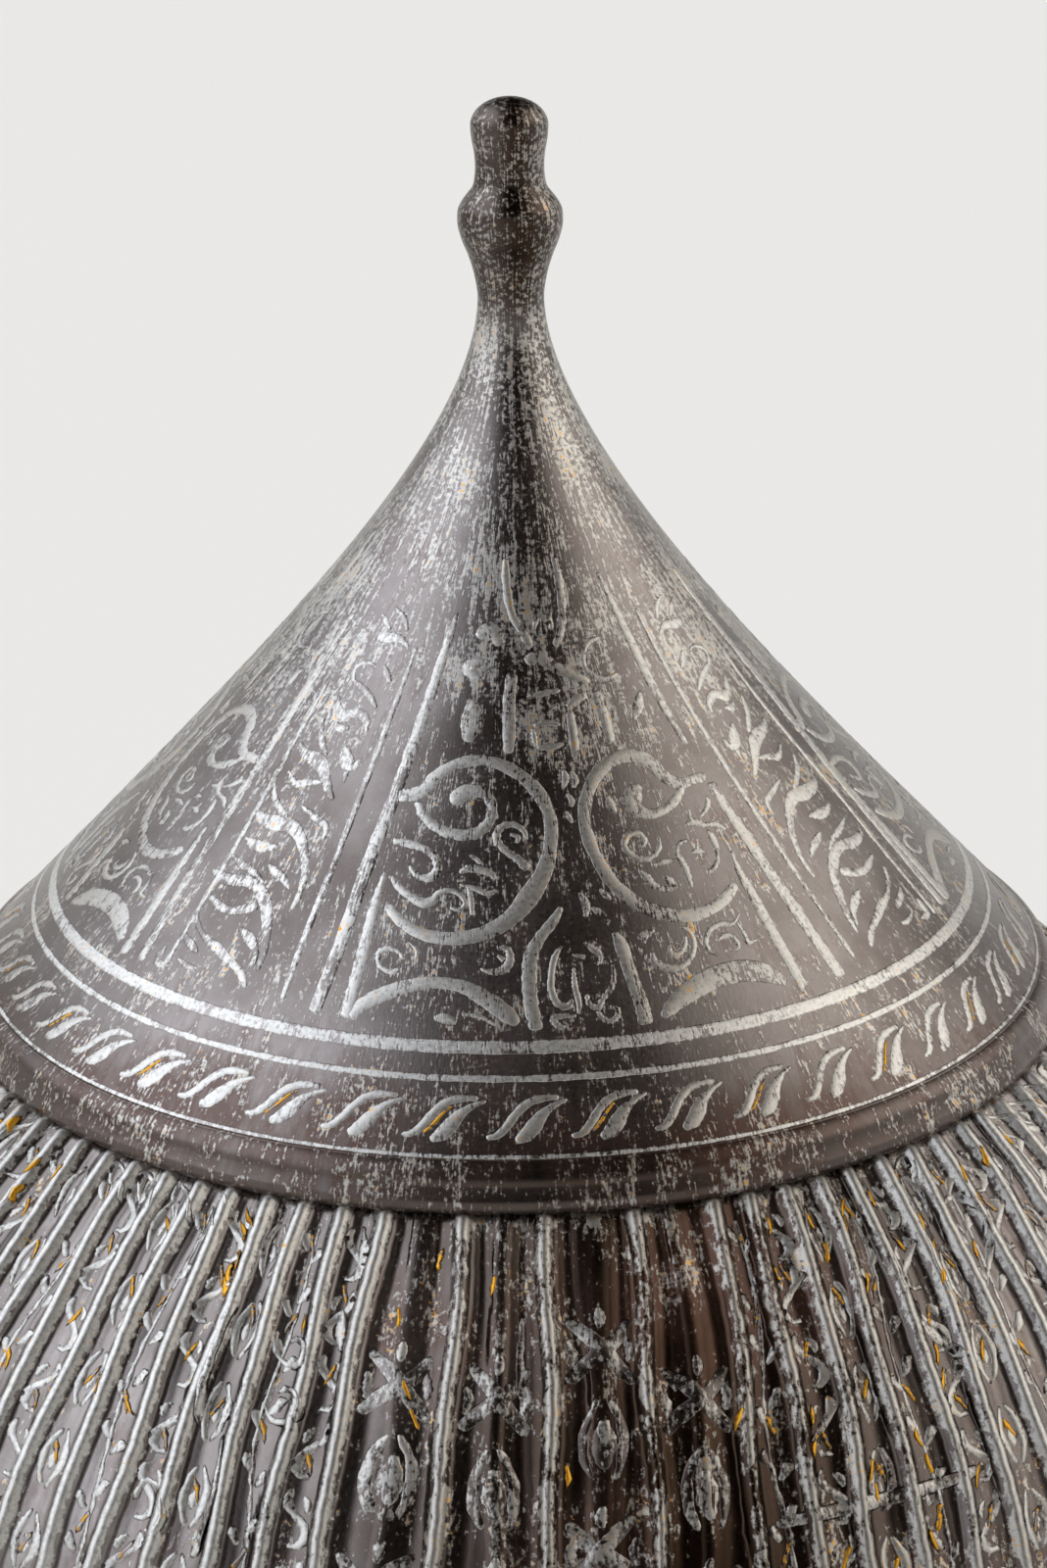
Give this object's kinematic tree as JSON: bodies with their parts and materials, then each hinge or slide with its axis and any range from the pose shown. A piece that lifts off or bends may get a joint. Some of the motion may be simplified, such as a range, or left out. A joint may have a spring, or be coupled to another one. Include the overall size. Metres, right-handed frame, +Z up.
{
  "type": "lobster-tail helmet",
  "caption": "Fluted conical cavalry helmet with a finial, peak, sliding nasal bar, hinged cheekpieces and an articulated neck guard of overlapping lames.",
  "frame": {"origin": "centre of the plane of the brow edge, where the helmet sits on the head", "axes": "+Z up along the axis of the skull to the finial, -Y to the front (the face side), +X to the wearer's left"},
  "size_m": [0.2548, 0.2997, 0.4245],
  "materials": {
    "damascened_iron": "dark iron overlaid with worn silver and gold foliage",
    "browned_steel": "worn grey-brown steel with bright edges",
    "silvered_steel": "silvered and burnished",
    "gilt_brass": "worn gilding",
    "oiled_leather": "dark oiled leather, creased",
    "quilted_lining": "quilted red wool twill"
  },
  "bodies": {
    "root": {"skull": "damascened_iron", "peak": "browned_steel", "peak_rivets": "gilt_brass", "nasal_bracket": "browned_steel", "bracket_rivets": "gilt_brass", "plume_holder": "gilt_brass", "plume_rivets": "gilt_brass", "lining_band": "oiled_leather", "lining_cap": "quilted_lining", "brow_rivets": "gilt_brass", "left_hinge_leaf": "browned_steel", "left_hinge_pin": "browned_steel", "left_hinge_rivets": "gilt_brass", "right_hinge_leaf": "browned_steel", "right_hinge_pin": "browned_steel", "right_hinge_rivets": "gilt_brass", "neck_lame_1": "browned_steel", "lame_pivots_1": "gilt_brass", "top_lame_rivets": "gilt_brass", "neck_leather_1": "oiled_leather", "leather_rivets_1": "gilt_brass"},
    "nasal_bar": {"nasal_bar": "silvered_steel"},
    "wing_screw": {"wing_screw": "gilt_brass"},
    "left_cheek": {"left_cheek_plate": "browned_steel", "left_cheek_leaf": "browned_steel", "left_leaf_rivets": "gilt_brass", "left_cheek_studs": "gilt_brass", "left_cheek_lining": "quilted_lining", "left_chin_strap": "oiled_leather"},
    "right_cheek": {"right_cheek_plate": "browned_steel", "right_cheek_leaf": "browned_steel", "right_leaf_rivets": "gilt_brass", "right_cheek_studs": "gilt_brass", "right_cheek_lining": "quilted_lining", "right_chin_strap": "oiled_leather"},
    "buckle_frame": {"buckle_frame": "gilt_brass"},
    "buckle_tongue": {"buckle_tongue": "gilt_brass"},
    "lame_2": {"neck_lame_2": "browned_steel", "neck_leather_2": "oiled_leather", "leather_rivets_2": "gilt_brass", "lame_pivots_2": "gilt_brass"},
    "lame_3": {"neck_lame_3": "browned_steel", "neck_leather_3": "oiled_leather", "leather_rivets_3": "gilt_brass", "lame_pivots_3": "gilt_brass"},
    "lame_4": {"neck_lame_4": "browned_steel", "neck_leather_4": "oiled_leather", "leather_rivets_4": "gilt_brass", "lame_pivots_4": "gilt_brass"},
    "lame_5": {"neck_lame_5": "browned_steel", "neck_leather_5": "oiled_leather", "leather_rivets_5": "gilt_brass"}
  },
  "joints": [
    {"name": "nasal_slide", "type": "slide", "parent": "root", "child": "nasal_bar", "axis": [0, 0, 1], "range_m": [0, 0.055]},
    {"name": "wing_screw_turn", "type": "hinge", "parent": "root", "child": "wing_screw", "pos_m": [0, -0.12, 0.02184], "axis": [0, -1, 0], "range_deg": [0, 270]},
    {"name": "left_cheek_swing", "type": "hinge", "parent": "root", "child": "left_cheek", "pos_m": [0.10395, -0.03378, -0.0032], "axis": [-0.309, -0.9511, 0], "range_deg": [-10, 75]},
    {"name": "right_cheek_swing", "type": "hinge", "parent": "root", "child": "right_cheek", "pos_m": [-0.10395, -0.03378, -0.0032], "axis": [-0.309, 0.9511, 0], "range_deg": [-10, 75]},
    {"name": "buckle_swing", "type": "hinge", "parent": "left_cheek", "child": "buckle_frame", "pos_m": [0.09489, -0.03924, -0.1445], "axis": [-0.309, -0.9511, 0], "range_deg": [-40, 40]},
    {"name": "tongue_swing", "type": "hinge", "parent": "buckle_frame", "child": "buckle_tongue", "pos_m": [0.09489, -0.03924, -0.1445], "axis": [-0.309, -0.9511, 0], "range_deg": [0, 50]},
    {"name": "lame_pivot_1", "type": "hinge", "parent": "root", "child": "lame_2", "pos_m": [0, 0.012, -0.007], "axis": [1, 0, 0], "range_deg": [0, 7]},
    {"name": "lame_pivot_2", "type": "hinge", "parent": "lame_2", "child": "lame_3", "pos_m": [0, 0.012, -0.02], "axis": [1, 0, 0], "range_deg": [0, 7]},
    {"name": "lame_pivot_3", "type": "hinge", "parent": "lame_3", "child": "lame_4", "pos_m": [0, 0.012, -0.033], "axis": [1, 0, 0], "range_deg": [0, 7]},
    {"name": "lame_pivot_4", "type": "hinge", "parent": "lame_4", "child": "lame_5", "pos_m": [0, 0.012, -0.046], "axis": [1, 0, 0], "range_deg": [0, 7]}
  ]
}
